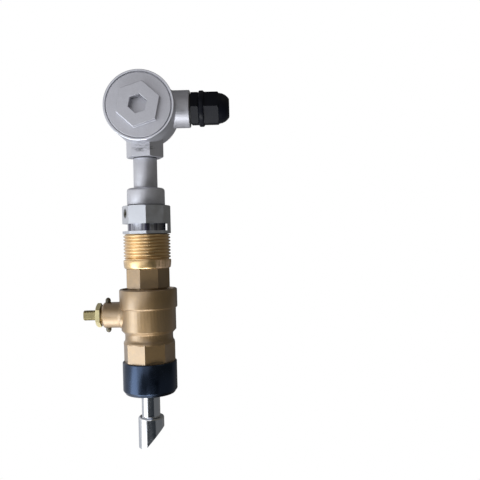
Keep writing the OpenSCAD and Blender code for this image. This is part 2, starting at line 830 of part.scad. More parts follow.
// The drum with its rounded back, drawn along the axis of the cover
module drum_outline() {
    r = drum_d / 2;
    rotate_extrude() polygon(concat(
        [[0, -drum_back]],
        arc(r - drum_round, drum_round - drum_back, drum_round, -90, 0, 7),
        [[r, drum_front - rim_edge], [r - rim_edge, drum_front], [0, drum_front]]
    ));
}

module port_outline() {
    r = port_d / 2;
    foot = sqrt(pow(drum_d / 2, 2) - pow(r, 2)) - 0.5;
    rotate_extrude() polygon(concat(
        [[0, 0], [r + port_flare, 0], [r + port_flare, foot]],
        [[r + port_flare * 0.3, foot + port_flare], [r, foot + port_flare * 2]],
        [[r, port_reach - fine_edge], [r - fine_edge, port_reach], [0, port_reach]]
    ));
}

module terminal_box() {
    space_r = space_d / 2;
    color(CAST_ALUMINIUM) difference() {
        union() {
            difference() {
                union() {
                    along_cover() drum_outline();
                    along_gland() port_outline();
                    turned_prism(boss_af, 6, z_box, z_drum - drum_d / 4, boss_edge, 0, boss_turn);
                }
                along_cover() rod_z(back_wall - drum_back, drum_front + over, space_r);
                along_cover() rod_z(shoulder, drum_front + over, mouth_r);
                along_cover() rod_z(cover_face - cover_gap_h, drum_front + over, mouth_r + cover_gap_w);
            }
            along_cover() translate([0, z_block + block_h / 2 - z_drum, 0])
                rod_z(-drum_back + 1, -block_back, post_d / 2);
        }
        along_gland() rod_z(0, port_reach + over, gland_thread_d / 2 + fit_gap);
        rod_z(z_box - over, z_box + sleeve_thread_h + 0.2, sleeve_r + fit_gap);
        rod_z(z_box, z_space + 10, tube_r + fit_gap);
    }
}

// Puts its children on the front of each terminal, with Z pointing out of the block
module terminal_places() {
    for (i = [0 : terminals - 1])
        translate([(i - (terminals - 1) / 2) * block_w / terminals, block_front, z_block + block_h / 2])
            rotate([90, 0, 0]) children();
}

module terminal_block() {
    color(BLOCK_GREEN) difference() {
        translate([-block_w / 2, block_front, z_block]) cube([block_w, block_t, block_h]);
        terminal_places() rod_z(-terminal_hole_h, over, terminal_screw_d / 2 + 0.3);
        for (i = [1 : terminals - 1])
            translate([(i - terminals / 2) * block_w / terminals - 0.4, block_front - over, z_block - over])
                cube([0.8, over + 1.2, block_h + 2 * over]);
        rod_z(z_block - over, z_block + 2.05, lead_d / 2 + fit_gap);
    }
}

module terminal_screws() {
    color(STAINLESS) terminal_places() difference() {
        rod_z(-terminal_hole_h + 0.02, -1, terminal_screw_d / 2);
        translate([-terminal_screw_d, -0.4, -1.9]) cube([2 * terminal_screw_d, 0.8, 2]);
    }
}

// Screw cover: a plate with a skirt behind and a raised hexagon with a key socket in front
module box_cover() {
    hex_r = corner_r(cover_hex_af, 6);
    key_floor = cover_face + cover_hex_h - cover_key_h;
    color(CAST_ALUMINIUM) along_cover() difference() {
        union() {
            rotate_extrude() polygon([
                [0, cover_back], [cover_r - fine_edge, cover_back], [cover_r, cover_back + fine_edge],
                [cover_r, cover_face - cover_edge], [cover_r - cover_edge, cover_face], [0, cover_face]
            ]);
            rotate(cover_turn_deg) rod_hex(hex_r, cover_face - over, cover_face + cover_hex_h);
        }
        difference() {
            rod_z(cover_back - over, cover_face - cover_t, cover_r - cover_skirt_w);
            rod_z(key_floor - 2.4, cover_face, corner_r(cover_key_af, 6) + 3);
        }
        rotate(cover_turn_deg) rod_hex(corner_r(cover_key_af, 6), key_floor, cover_face + cover_hex_h + over);
    }
}

module rod_hex(r, z0, z1) {
    translate([0, 0, z0]) cylinder(r = r, h = z1 - z0, $fn = 6);
}

module cover_seal_ring() {
    major_r = mouth_r - seat_gap - cover_ring_cs / 2;
    color(RUBBER) along_cover() translate([0, 0, cover_back - seat_gap - cover_ring_cs / 2])
        rotate_extrude() translate([major_r, 0]) circle(d = cover_ring_cs, $fn = 24);
}

module gland_washer() {
    color(RUBBER) along_gland()
        tube_z(port_reach, gland_hex, gland_af / 2 - 0.5, gland_thread_d / 2 + fit_gap);
}

module gland_body() {
    neck_r = gland_neck_d / 2;
    color(NYLON) along_gland() difference() {
        union() {
            rod_z(port_reach - gland_thread_h, gland_hex + 0.5, gland_thread_d / 2);
            turned_prism(gland_af, 6, gland_hex, gland_neck, edge, edge, gland_turn);
            rotate_extrude() polygon([
                [0, gland_neck - 0.5], [neck_r, gland_neck - 0.5], [neck_r, gland_neck_end - 1],
                [neck_r - 1, gland_neck_end], [0, gland_neck_end]
            ]);
        }
        rod_z(port_reach - gland_thread_h - over, gland_neck_end + over, cable_d / 2 + 1);
        rod_z(gland_seal_end - gland_seal_h - 0.05, gland_neck_end + over, gland_bore_d / 2);
    }
}

module gland_seal() {
    r = gland_bore_d / 2 - 0.1;
    foot = gland_seal_end - gland_seal_h;
    color(RUBBER) along_gland() difference() {
        rotate_extrude() polygon([
            [0, foot], [r, foot], [r, gland_neck_end], [r - 1.2, gland_seal_end], [0, gland_seal_end]
        ]);
        rod_z(foot - over, gland_seal_end + over, cable_d / 2);
    }
}

// Dome nut: round flange, hexagon and dome, hollow over the neck and the seal
module gland_nut() {
    mouth = gland_mouth_d / 2;
    flange_r = gland_flange_d / 2;
    dome_r = gland_af / 2;
    seal_r = gland_bore_d / 2;
    color(NYLON) along_gland() difference() {
        union() {
            rotate_extrude() polygon([
                [0, gland_nut_in], [flange_r - 0.8, gland_nut_in], [flange_r, gland_nut_in + 0.8],
                [flange_r, gland_nut_hex - 0.8], [flange_r - 0.8, gland_nut_hex], [0, gland_nut_hex]
            ]);
            turned_prism(gland_af, 6, gland_nut_hex - 0.1, gland_dome, 0, 2 * edge, gland_turn);
            rotate_extrude() polygon([
                [0, gland_dome - over], [dome_r, gland_dome - over], [dome_r, gland_dome],
                [dome_r - 0.7, gland_dome + gland_dome_h * 0.35], [dome_r - 2.2, gland_dome + gland_dome_h * 0.65],
                [dome_r - 4.2, gland_dome + gland_dome_h * 0.87], [mouth + 1, gland_end], [0, gland_end]
            ]);
        }
        rod_z(gland_nut_in - over, gland_neck_end + 0.5, gland_neck_d / 2 + run_gap);
        rod_z(gland_nut_in, gland_seal_end + seat_gap, seal_r + seat_gap);
        rod_z(gland_nut_in, gland_end + over, mouth);
    }
}

weld_base();
valve_body();
valve_end();
seat_lower();
seat_upper();
ball();
spindle();
spindle_packing();
spindle_gland_nut();
stop_pins();
threaded_nipple();
probe_holder();
holder_seal_rings();
clamp_collet();
thrust_ring();
packing_nut();
grub_pad();
grub_screw();
probe_tube();
probe_head();
piezo_disc();
backing_block();
signal_lead();
neck_sleeve();
neck_seal();
terminal_box();
terminal_block();
terminal_screws();
box_cover();
cover_seal_ring();
gland_washer();
gland_body();
gland_seal();
gland_nut();
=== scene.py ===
# Looks of an insertion ultrasonic flow sensor on its ball valve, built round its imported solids.
# Places are in metres, and sizes that a maker would name are in millimetres.

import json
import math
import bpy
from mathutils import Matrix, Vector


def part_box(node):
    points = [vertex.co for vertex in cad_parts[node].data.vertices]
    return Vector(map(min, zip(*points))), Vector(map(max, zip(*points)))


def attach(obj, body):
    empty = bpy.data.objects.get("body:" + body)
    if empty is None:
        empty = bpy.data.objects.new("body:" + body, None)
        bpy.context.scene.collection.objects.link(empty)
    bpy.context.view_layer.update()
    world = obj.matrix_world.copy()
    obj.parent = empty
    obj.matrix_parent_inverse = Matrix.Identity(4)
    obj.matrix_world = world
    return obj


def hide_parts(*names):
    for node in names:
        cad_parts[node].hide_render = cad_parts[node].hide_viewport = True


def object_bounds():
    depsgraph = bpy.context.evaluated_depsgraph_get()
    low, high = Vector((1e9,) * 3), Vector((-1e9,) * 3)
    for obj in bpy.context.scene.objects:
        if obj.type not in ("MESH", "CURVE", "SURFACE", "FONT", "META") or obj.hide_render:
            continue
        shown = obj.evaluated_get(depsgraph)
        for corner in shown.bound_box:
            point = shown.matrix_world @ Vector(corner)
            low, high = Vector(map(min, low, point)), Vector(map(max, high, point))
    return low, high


bl_info = {
    "name": "Insertion flow sensor",
    "version": (1, 0, 0),
    "blender": (4, 5, 0),
    "location": "View3D > Sidebar > Flow sensor",
    "description": "Finishes and fine pieces of an ultrasonic flow probe on its ball valve",
    "category": "Object",
}

import bmesh
import bpy
from bpy.props import FloatProperty, FloatVectorProperty, PointerProperty, StringProperty
from mathutils import Matrix, Vector

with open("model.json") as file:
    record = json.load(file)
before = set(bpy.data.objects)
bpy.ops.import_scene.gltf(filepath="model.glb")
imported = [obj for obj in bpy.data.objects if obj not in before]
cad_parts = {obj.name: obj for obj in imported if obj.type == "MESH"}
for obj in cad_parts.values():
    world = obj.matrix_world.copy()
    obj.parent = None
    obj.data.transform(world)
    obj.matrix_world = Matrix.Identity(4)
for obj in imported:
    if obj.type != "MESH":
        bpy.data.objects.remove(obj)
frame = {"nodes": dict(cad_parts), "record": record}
CAD_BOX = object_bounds()
MM = 0.001


def low_corner(node):
    """Lowest corner of a solid, in millimetres."""
    return Vector(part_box(node)[0]) / MM


def high_corner(node):
    """Highest corner of a solid, in millimetres."""
    return Vector(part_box(node)[1]) / MM


# Settings

def millimetres(name, description, default, low=0.0, high=100.0):
    return FloatProperty(
        name=name, description=description + ", in millimetres", default=default, min=low, max=high)


def watts(name, description, default):
    return FloatProperty(
        name=name, description="Power of " + description + ", in watts", default=default, min=0.0)


def hex_colour(name, description, default):
    return StringProperty(
        name=name, description=description + ", as an sRGB hex value", default=default, maxlen=6)


class NippleSizes(bpy.types.PropertyGroup):
    """Brass nipple with its coarse thread, which the solid leaves plain."""

    thread_d: millimetres("Thread", "Outside diameter of the thread", 44.0)
    pitch: millimetres("Pitch", "Pitch of the thread", 3.0, 1.0, 6.0)
    depth: millimetres("Depth", "Depth of the thread", 1.5, 0.3, 3.0)
    collar_h: millimetres("Collar", "Height of the collar", 8.3)
    bore_d: millimetres("Bore", "Bore of the nipple", 26.0)
    socket_d: millimetres("Socket", "Bore that takes the holder's spigot", 35.7)
    pipe_d: millimetres("Pipe thread", "Diameter of the thread inside the valve", 33.2)


class SpindleSizes(bpy.types.PropertyGroup):
    """Valve spindle with its threaded stud."""

    stud_d: millimetres("Stud", "Outside diameter of the stud", 9.6)
    flats: millimetres("Flats", "Width across the two flats of the stud", 6.8)
    pitch: millimetres("Pitch", "Pitch of the stud's thread", 1.25, 0.5, 3.0)
    depth: millimetres("Depth", "Depth of the stud's thread", 0.5, 0.1, 1.0)
    shaft_d: millimetres("Shaft", "Diameter of the shaft", 12.0)
    shaft_out: millimetres("Shaft outside", "Length of the plain shaft outside the gland nut", 1.4)
    collar_w: millimetres("Collar", "Width of the collar inside the bonnet", 3.0)
    tang_w: millimetres("Tang", "Width of the tang in the ball", 6.9)


class EdgeSizes(bpy.types.PropertyGroup):
    """How far the edges of each kind of piece are rounded."""

    cast: millimetres("Cast edges", "Round on the edges of cast pieces", 0.5, 0.0, 2.0)
    forged: millimetres("Forged edges", "Round on the edges of forged pieces", 0.6, 0.0, 2.0)
    turned: millimetres("Turned edges", "Broken edge of turned and milled pieces", 0.2, 0.0, 1.0)
    moulded: millimetres("Moulded edges", "Round on the edges of moulded pieces", 0.4, 0.0, 1.0)


class FinishColours(bpy.types.PropertyGroup):
    """Colours of the finishes, of the marks on them, and of painted shade and painted reflections.
    """

    cast_aluminium: hex_colour("Cast aluminium", "Bead-blasted castings", "C9C9CF")
    bare_rim: hex_colour("Bare rim", "Turned rim of the terminal box", "CBCCD2")
    milled_steel: hex_colour("Milled steel", "Probe holder", "C4C6CC")
    # Painted shade in the clamp slot, with lighter streaks as painted reflections
    slot_shade: hex_colour("Slot shade", "Painted shade and reflections in the clamp slot", "464456")
    # Painted shade round the grub screw, where its hole looks dark
    hole_shade: hex_colour("Hole shade", "Painted shade round the grub screw's hole", "3C3E3E")
    polished_steel: hex_colour("Polished steel", "Probe tube and head, ball and collet", "DADCE0")
    bright_brass: hex_colour("Bright brass", "Turned nipple", "DFBA7E")
    # Painted reflections: lighter streaks on the shaded side of the nipple's collar
    collar_reflections: hex_colour("Collar reflections", "Painted reflections on the nipple's collar", "FFDDB8")
    forged_brass: hex_colour("Forged brass", "Blasted body of the valve", "927038")
    dull_brass: hex_colour("Dull brass", "Spindle", "A89C74")
    light_brass: hex_colour("Light brass", "Gland nut of the spindle", "E2D6A6")
    black_coat: hex_colour("Black coat", "Blued weld base", "353F50")
    dark_steel: hex_colour("Dark steel", "Stop pins and grub screw", "5E594C")
    nylon: hex_colour("Nylon", "Cable gland", "0B0D16")
    rubber: hex_colour("Rubber", "Seal rings and the gland's washer", "1B1B1C")
    ptfe: hex_colour("PTFE", "Seats of the ball and packing of the spindle", "E6E4DE")
    ceramic: hex_colour("Ceramic", "Piezo disc", "D8CFA8")
    resin: hex_colour("Resin", "Backing of the piezo disc", "3A3D33")
    sheath: hex_colour("Sheath", "Signal lead", "55585C")
    polyamide: hex_colour("Polyamide", "Terminal block", "3F7A56")


class StageSettings(bpy.types.PropertyGroup):
    """Floor, lamps and camera."""

    camera_place: FloatVectorProperty(
        name="Camera", description="Place of the camera", default=(0.0883, -0.570, 0.1422),
        subtype="TRANSLATION", unit="LENGTH")
    camera_roll: FloatProperty(
        name="Roll", description="Roll of the camera, clockwise", default=math.radians(1.4),
        subtype="ANGLE")
    lens: millimetres("Lens", "Focal length", 45.0, 20.0, 120.0)
    floor_drop: FloatProperty(
        name="Floor", description="How far the floor lies under the probe's tip", default=0.6,
        unit="LENGTH")
    floor_radius: FloatProperty(
        name="Floor radius", description="Radius of the floor", default=0.6, unit="LENGTH")
    window_power: watts("Window", "the large soft lamp below at the left", 2.1)
    side_power: watts("Side lamp", "the lamp beside the camera", 0.22)
    low_power: watts("Low lamp", "the lamp far below in front", 2.3)
    under_power: watts("Under lamp", "the soft lamp far below at the left", 0.3)
    fill_power: watts("Fill", "the weak lamp above", 0.2)
    daylight: FloatProperty(
        name="Daylight", description="Strength of the even light all round", default=0.35,
        min=0.0, max=1.0)


GROUPS = {
    "nipple": NippleSizes,
    "spindle": SpindleSizes,
    "edges": EdgeSizes,
    "colours": FinishColours,
    "stage": StageSettings,
}


def settings(group):
    return getattr(bpy.context.scene, "flow_" + group)


# Materials

# Inputs and output of Blender's mix node when it mixes colours
MIX_FACTOR, MIX_A, MIX_B, MIX_RESULT = 0, 6, 7, 2

# Nearly all of a noise lies in this part of its range
NOISE_SPAN = {"From Min": 0.3, "From Max": 0.7}


def linear(hex_code, factor=1.0):
    """An sRGB hex value as linear red, green, blue and alpha, made darker or lighter by factor."""
    values = []
    for i in (0, 2, 4):
        c = int(hex_code[i:i + 2], 16) / 255
        c = c / 12.92 if c <= 0.04045 else ((c + 0.055) / 1.055) ** 2.4
        values.append(min(c * factor, 1.0))
    return (*values, 1.0)


def add_node(tree, kind, inputs=None, **values):
    """Adds a node, sets its values, and sets or links each named or numbered input."""
    node = tree.nodes.new(kind)
    for name, value in values.items():
        setattr(node, name, value)
    for key, value in (inputs or {}).items():
        if isinstance(value, bpy.types.NodeSocket):
            tree.links.new(value, node.inputs[key])
        else:
            node.inputs[key].default_value = value
    return node


def pattern(size_mm, detail, roughness):
    """Inputs of a noise whose features are size_mm across."""
    return {"Scale": 1.0 / (size_mm * MM), "Detail": detail, "Roughness": roughness}


def new_finish(
        name, colour, inputs, cloud, tones, roughness, grain, bump, flecks=None, stretch=None):
    """A material that two patterns vary. As the cloud thickens, the colour goes from the first of
    the two shares in tones to the second, and the roughness from its first value to its second.
    The grain stands out by bump, a strength and a height in millimetres. It may also fleck the
    colour between two shares, and stretch scales its axes."""
    material = bpy.data.materials.new(name)
    material.use_nodes = True
    tree = material.node_tree
    shader = tree.nodes["Principled BSDF"]
    for key, value in inputs.items():
        shader.inputs[key].default_value = value
    place = add_node(tree, "ShaderNodeTexCoord").outputs["Object"]
    drawn = place
    if stretch:
        drawn = add_node(tree, "ShaderNodeVectorMath", {
            0: place, 1: stretch}, operation="MULTIPLY").outputs["Vector"]
    fine = add_node(tree, "ShaderNodeTexNoise", {"Vector": drawn, **grain}).outputs["Fac"]
    coarse = add_node(tree, "ShaderNodeTexNoise", {"Vector": place, **cloud}).outputs["Fac"]
    skin = add_node(tree, "ShaderNodeMix", {
        MIX_FACTOR: coarse, MIX_A: linear(colour, tones[0]), MIX_B: linear(colour, tones[1])},
        data_type="RGBA").outputs[MIX_RESULT]
    if flecks:
        share = add_node(tree, "ShaderNodeMapRange", {
            "Value": fine, **NOISE_SPAN, "To Min": flecks[0], "To Max": flecks[1]})
        skin = add_node(tree, "ShaderNodeVectorMath", {
            0: skin, "Scale": share.outputs["Result"]}, operation="SCALE").outputs["Vector"]
    tree.links.new(skin, shader.inputs["Base Color"])
    rough = add_node(tree, "ShaderNodeMapRange", {
        "Value": coarse, **NOISE_SPAN, "To Min": roughness[0], "To Max": roughness[1]})
    tree.links.new(rough.outputs["Result"], shader.inputs["Roughness"])
    relief = add_node(tree, "ShaderNodeBump", {
        "Height": fine, "Strength": bump[0], "Distance": bump[1] * MM})
    tree.links.new(relief.outputs["Normal"], shader.inputs["Normal"])
    return material


def between(tree, value, low, high):
    """1 where value lies between low and high, in millimetres, and 0 elsewhere."""
    over = add_node(tree, "ShaderNodeMath", {0: value, 1: low * MM}, operation="GREATER_THAN")
    under = add_node(tree, "ShaderNodeMath", {0: value, 1: high * MM}, operation="LESS_THAN")
    both = add_node(tree, "ShaderNodeMath", {
        0: over.outputs["Value"], 1: under.outputs["Value"]}, operation="MULTIPLY")
    return both.outputs["Value"]


def way_from(tree, middle, weights):
    """The way to each place from a middle, given in millimetres, and how long it is with its axes
    weighted."""
    place = add_node(tree, "ShaderNodeTexCoord").outputs["Object"]
    away = add_node(tree, "ShaderNodeVectorMath", {
        0: place, 1: Vector(middle) * MM}, operation="SUBTRACT")
    weighed = add_node(tree, "ShaderNodeVectorMath", {
        0: away.outputs["Vector"], 1: weights}, operation="MULTIPLY")
    far = add_node(tree, "ShaderNodeVectorMath", {0: weighed.outputs["Vector"]}, operation="LENGTH")
    return away.outputs["Vector"], far.outputs["Value"]


def ring_zone(tree, axis, middle, radii, levels):
    """1 between two radii round an axis through the middle and between two levels along it, and 0
    elsewhere, all in millimetres."""
    place = add_node(tree, "ShaderNodeTexCoord").outputs["Object"]
    part = add_node(tree, "ShaderNodeSeparateXYZ", {"Vector": place})
    _, out = way_from(tree, middle, [float(name != axis) for name in "XYZ"])
    level = between(tree, part.outputs[axis], *levels)
    inside = between(tree, out, *radii)
    both = add_node(tree, "ShaderNodeMath", {0: level, 1: inside}, operation="MULTIPLY")
    return both.outputs["Value"]


def repaint(material, mask, colour, roughness=None):
    """Gives the skin another colour and roughness as far as the mask says, from 0 to 1."""
    tree = material.node_tree
    shader = tree.nodes["Principled BSDF"]
    skin = shader.inputs["Base Color"].links[0].from_socket
    marked = add_node(tree, "ShaderNodeMix", {
        MIX_FACTOR: mask, MIX_A: skin, MIX_B: colour}, data_type="RGBA")
    tree.links.new(marked.outputs[MIX_RESULT], shader.inputs["Base Color"])
    if roughness is not None:
        plain = shader.inputs["Roughness"].links[0].from_socket
        rubbed = add_node(tree, "ShaderNodeMix", {
            0: mask, 2: plain, 3: roughness}, data_type="FLOAT")
        tree.links.new(rubbed.outputs[0], shader.inputs["Roughness"])


def paint_light_streaks(material, zone, colour, roughness, width, least, most):
    """Paints streaks along Z, width millimetres wide, in a zone, as painted shade and painted
    reflections. They show from least to most.
    """
    tree = material.node_tree
    place = add_node(tree, "ShaderNodeTexCoord").outputs["Object"]
    # They run 25 times as long as they are wide
    lengthwise = add_node(tree, "ShaderNodeVectorMath", {
        0: place, 1: (1.0, 1.0, 0.04)}, operation="MULTIPLY")
    streaks = add_node(tree, "ShaderNodeTexNoise", {
        "Vector": lengthwise.outputs["Vector"], **pattern(width, 2.0, 0.6)})
    shown = add_node(tree, "ShaderNodeMapRange", {
        "Value": streaks.outputs["Fac"], "From Min": 0.4, "From Max": 0.6,
        "To Min": least, "To Max": most})
    mask = add_node(tree, "ShaderNodeMath", {
        0: zone, 1: shown.outputs["Result"]}, operation="MULTIPLY")
    repaint(material, mask.outputs["Value"], linear(colour), roughness)


# Finishes

def blasted_aluminium(name, colour):
    """Die-cast aluminium, bead-blasted: light grey and soft, with a fine grain and faint stains
    from handling."""
    # The beads leave dimples of about 0.1 mm, drawn at 0.5 mm so that they show
    return new_finish(
        name, colour, {"Metallic": 0.85},
        cloud=pattern(11, 4.0, 0.55), tones=(0.86, 1.1), roughness=(0.44, 0.56),
        grain=pattern(0.5, 3.0, 0.6), flecks=(0.92, 1.06), bump=(0.3, 0.1))


def turned_metal(name, colour, roughness, ring_mm, depth, stain=0.06):
    """Turned or milled metal: fine rings round the lathe's axis, brighter and duller by turns."""
    # The tool leaves rings of about 0.1 mm, drawn ring_mm apart so that they show
    return new_finish(
        name, colour, {"Metallic": 1.0},
        cloud=pattern(7, 4.0, 0.6), tones=(1.0 - 2.5 * stain, 1.0 + stain),
        roughness=(roughness * 0.85, roughness * 1.25),
        grain=pattern(ring_mm, 3.0, 0.6), stretch=(0.04, 0.04, 1.0), bump=(depth, 0.05))


def forged_brass(name, colour):
    """Hot-forged brass, sand-blasted: matt and pinkish tan, with a coarse grain and cloudy
    patches."""
    # The coat is a thin film of zinc oxide, of an index of about 2, which pales the lights on it.
    # Blasting leaves a grain of about 0.2 mm, drawn at 0.6 mm so that it shows
    film = {"Coat Weight": 1.0, "Coat Roughness": 0.35, "Coat IOR": 2.1}
    return new_finish(
        name, colour, {"Metallic": 0.9, **film},
        cloud=pattern(8, 5.0, 0.6), tones=(0.74, 1.16), roughness=(0.5, 0.42),
        grain=pattern(0.6, 4.0, 0.65), flecks=(0.82, 1.12), bump=(0.45, 0.15))


def plain_finish(name, colour, roughness, grain_mm, depth, metallic=0.0, spread=0.15, gloss=0.5):
    """Moulded or coated skin: one colour with a little cloud, and a grain or a waviness."""
    return new_finish(
        name, colour, {"Metallic": metallic, "Specular IOR Level": gloss},
        cloud=pattern(10, 3.0, 0.55), tones=(1.0 - spread, 1.0 + spread),
        roughness=(roughness * 0.85, roughness * 1.15),
        grain=pattern(grain_mm, 2.0, 0.5), bump=(depth, 0.08))


# Scuffed patch on the front of the terminal box's hexagon: the X and Y of its middle and its height
# over the box's foot, and how far from there it fades out, in millimetres
SCUFF_MIDDLE = (1.0, -15.6, 7.6)
SCUFF_FADE = (7, 12)

# Turned rim of the terminal box: its radii, and how far forward it lies, in millimetres
RIM_RADII = (30.0, 33.0)
RIM_LEVELS = (-40.0, -29.8)


def box_aluminium(name, colours):
    """The terminal box's casting: scuffed on its hexagon, with a rim faced on a lathe, which is
    bare, brighter and smoother."""
    material = blasted_aluminium(name, colours.cast_aluminium)
    tree = material.node_tree
    x, y, height = SCUFF_MIDDLE
    # The patch is more than twice as wide as it is high
    away, far = way_from(tree, (x, y, low_corner("terminal_box").z + height), (1.0, 0.3, 2.4))
    near = add_node(tree, "ShaderNodeMapRange", {
        "Value": far, "From Min": SCUFF_FADE[0] * MM, "From Max": SCUFF_FADE[1] * MM,
        "To Min": 1.0, "To Max": 0.0})
    # Something hard was dragged along the facets, so the smears run level
    drawn = add_node(tree, "ShaderNodeVectorMath", {
        0: away, 1: (0.3, 0.3, 1.3)}, operation="MULTIPLY")
    rub = add_node(tree, "ShaderNodeTexNoise", {
        "Vector": drawn.outputs["Vector"], **pattern(2.4, 5.0, 0.7)})
    smears = add_node(tree, "ShaderNodeMapRange", {
        "Value": rub.outputs["Fac"], "From Min": 0.46, "From Max": 0.6,
        "To Min": 0.0, "To Max": 0.8})
    patch = add_node(tree, "ShaderNodeMath", {
        0: near.outputs["Result"], 1: smears.outputs["Result"]}, operation="MULTIPLY")
    repaint(material, patch.outputs["Value"], linear(colours.cast_aluminium, 0.25))
    cover_z = (low_corner("box_cover").z + high_corner("box_cover").z) / 2
    rim = ring_zone(tree, "Y", (0.0, 0.0, cover_z), RIM_RADII, RIM_LEVELS)
    repaint(material, rim, linear(colours.bare_rim), roughness=0.3)
    return material


# Clamp slot of the holder, where shade and reflections are painted in streaks: radii of what shows
# in it, and its levels, in millimetres
SLOT_RADII = (0.0, 18.0)
SLOT_LEVELS = (153.1, 159.7)

# Half the width of the holder across its flats, and how far from the grub screw's axis the painted
# shade of its hole fades out on that flat, in millimetres
HOLDER_FLAT = 21.0
HOLE_SHADE_FADE = (3.6, 5.2)


def milled_holder(name, colours):
    """Milled stainless steel: satin, with painted shade and painted reflections in streaks on the
    turned core inside the clamp slot, and painted shade round the grub screw, where its hole looks
    dark."""
    material = turned_metal(name, colours.milled_steel, roughness=0.42, ring_mm=0.7, depth=0.12)
    tree = material.node_tree
    slot = ring_zone(tree, "Z", (0.0, 0.0, 0.0), SLOT_RADII, SLOT_LEVELS)
    # Painted shade on the slot's core, with lighter streaks as painted reflections
    paint_light_streaks(material, slot, colours.slot_shade, roughness=0.3, width=5.0, least=0.35, most=1.0)
    screw = (low_corner("grub_screw") + high_corner("grub_screw")) / 2
    end = Vector((screw.x, screw.y, 0.0)).normalized() * HOLDER_FLAT + Vector((0.0, 0.0, screw.z))
    _, far = way_from(tree, end, (1.0, 1.0, 1.0))
    near = add_node(tree, "ShaderNodeMapRange", {
        "Value": far, "From Min": HOLE_SHADE_FADE[0] * MM, "From Max": HOLE_SHADE_FADE[1] * MM,
        "To Min": 0.9, "To Max": 0.0})
    # Painted shade round the grub screw, where its hole looks dark
    repaint(material, near.outputs["Result"], linear(colours.hole_shade), roughness=0.4)
    return material


# Painted reflections, in lighter and rougher streaks on the nipple's collar: their radii, and the X
# between which they fade in towards the shaded side where they show, in millimetres
COLLAR_REFLECTION_RADII = (21.0, 30.0)
COLLAR_REFLECTION_FADE = (8, 13)


def nipple_brass(name, colours):
    """Turned brass, bright and yellow, with painted reflections in lighter, rougher streaks on the
    shaded side of the collar.
    """
    material = turned_metal(name, colours.bright_brass, roughness=0.32, ring_mm=0.8, depth=0.02)
    # The coat is a thin film of oxide with a trace of oil, which pales the lights on the brass
    tree = material.node_tree
    shader = tree.nodes["Principled BSDF"]
    shader.inputs["Coat Weight"].default_value = 1.0
    shader.inputs["Coat Roughness"].default_value = 0.25
    shader.inputs["Coat IOR"].default_value = 1.9
    foot = high_corner("valve_end").z
    collar = ring_zone(
        tree, "Z", (0.0, 0.0, 0.0), COLLAR_REFLECTION_RADII, (foot, foot + settings("nipple").collar_h))
    place = add_node(tree, "ShaderNodeTexCoord").outputs["Object"]
    part = add_node(tree, "ShaderNodeSeparateXYZ", {"Vector": place})
    side = add_node(tree, "ShaderNodeMapRange", {
        "Value": part.outputs["X"], "From Min": COLLAR_REFLECTION_FADE[0] * MM, "From Max": COLLAR_REFLECTION_FADE[1] * MM})
    zone = add_node(tree, "ShaderNodeMath", {
        0: collar, 1: side.outputs["Result"]}, operation="MULTIPLY")
    # Lighter, rougher streaks on the collar's shaded side: painted reflections
    paint_light_streaks(
        material, zone.outputs["Value"], colours.collar_reflections,
        roughness=0.62, width=1.4, least=0.2, most=1.0)
    return material


def make_finishes():
    """Every finish, by the record's material slot or by the name that OWN_FINISH gives it."""
    c = settings("colours")
    return {
        "cast_aluminium": blasted_aluminium("bead-blasted cast aluminium", c.cast_aluminium),
        "scuffed_aluminium": box_aluminium("scuffed cast aluminium", c),
        "machined_steel": milled_holder("milled stainless steel", c),
        # Polished after turning: clear reflections, and rings that hardly show
        "stainless": turned_metal(
            "polished stainless steel", c.polished_steel, roughness=0.15, ring_mm=0.5, depth=0.03),
        "bright_brass": nipple_brass("turned brass", c),
        "forged_brass": forged_brass("sand-blasted forged brass", c.forged_brass),
        # Turned brass that air and hands have dulled: greenish and blotchy
        "green_brass": turned_metal(
            "dull machined brass", c.dull_brass,
            roughness=0.34, ring_mm=0.6, depth=0.2, stain=0.14),
        # Turned brass that is still clean: pale, with a satin sheen
        "light_brass": turned_metal(
            "bright machined brass", c.light_brass, roughness=0.36, ring_mm=0.6, depth=0.1),
        # Steel blackened in a hot bath: a deep blue sheen over a slightly wavy skin
        "black_steel": plain_finish(
            "blued steel", c.black_coat, roughness=0.25, grain_mm=1.4, depth=0.12, metallic=1.0),
        # Bare steel that has tarnished: brownish and dull, with a pitted grain
        "dark_steel": plain_finish(
            "weathered steel", c.dark_steel, roughness=0.45, grain_mm=0.5, depth=0.2, metallic=0.9),
        # Moulded in a lightly etched tool: deep black and satin, with a weak gloss
        "nylon": plain_finish(
            "moulded black nylon", c.nylon, roughness=0.4, grain_mm=0.5, depth=0.25, gloss=0.15),
        # Vulcanised in a mould: matt black
        "rubber": plain_finish(
            "black nitrile rubber", c.rubber, roughness=0.6, grain_mm=0.4, depth=0.3),
        # Pressed and turned: waxy white and very smooth
        "ptfe": plain_finish("white PTFE", c.ptfe, roughness=0.45, grain_mm=0.8, depth=0.1),
        # Fired and lapped: cream, with a low gloss
        "ceramic": plain_finish(
            "fired piezo ceramic", c.ceramic, roughness=0.3, grain_mm=0.6, depth=0.1),
        # Poured with a dark filler: glossy, and wavy from shrinking
        "resin": plain_finish("cast epoxy resin", c.resin, roughness=0.25, grain_mm=1.5, depth=0.1),
        # Extruded: plain grey and satin
        "lead": plain_finish("grey cable sheath", c.sheath, roughness=0.5, grain_mm=0.6, depth=0.2),
        # Moulded in an etched tool: satin green
        "block": plain_finish(
            "moulded green polyamide", c.polyamide, roughness=0.42, grain_mm=0.5, depth=0.2),
    }


# Shapes

# An edge of a drawn piece stays crisp where its faces turn by more than this, in degrees
CRISP = 40

# The solids' flat faces turn by less than FLAT, and their edges by more than CORNER, in degrees
FLAT = 0.5
CORNER = 28

# Points closer than this are one, in millimetres: of a drawn piece, and of a solid
DRAWN_GAP = 0.0001
SOLID_GAP = 0.001


